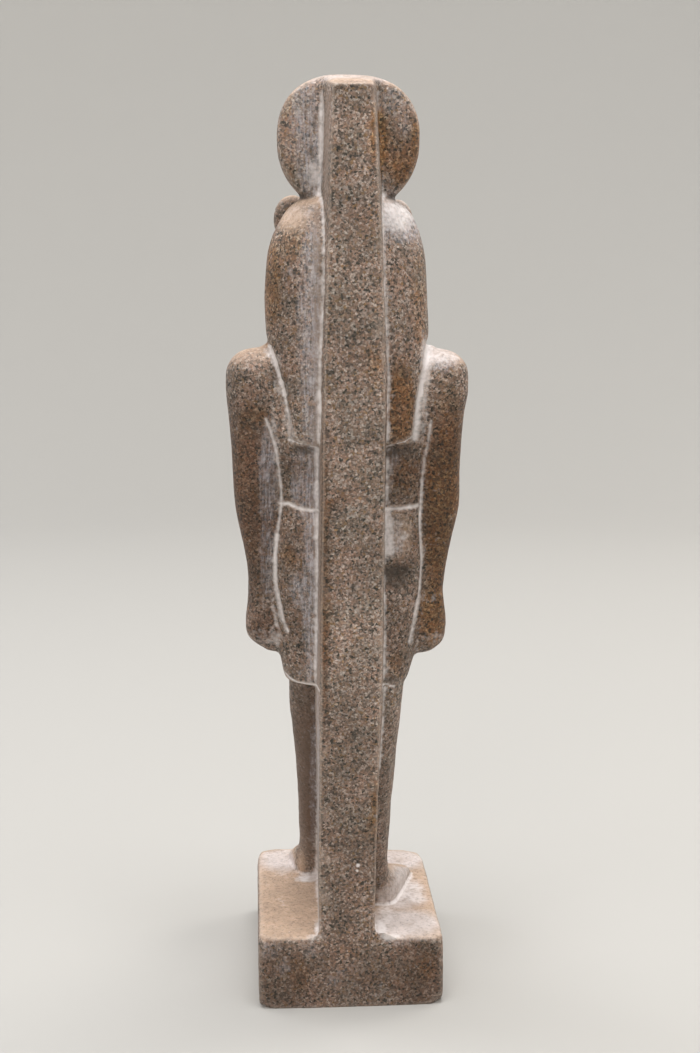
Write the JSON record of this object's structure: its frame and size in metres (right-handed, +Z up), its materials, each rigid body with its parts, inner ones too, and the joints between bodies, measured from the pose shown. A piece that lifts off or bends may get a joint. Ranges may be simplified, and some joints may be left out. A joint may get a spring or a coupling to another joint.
{
  "type": "sekhmet statue",
  "caption": "Standing lion-headed goddess with a sun disk, long wig and kilt, carved in granite in one block with a back pillar and plinth.",
  "frame": {"origin": "middle of the block's underside, under the centre of its box", "axes": "+Z up, the figure faces -Y, her own left side is +X and the flat back pillar faces +Y"},
  "size_m": [0.1031, 0.0997, 0.4],
  "materials": {
    "granite": "worn, dull brown granite with dark and pale grains, pale in the cut lines"
  },
  "bodies": {
    "root": {"sekhmet_statue": "granite"}
  },
  "joints": []
}
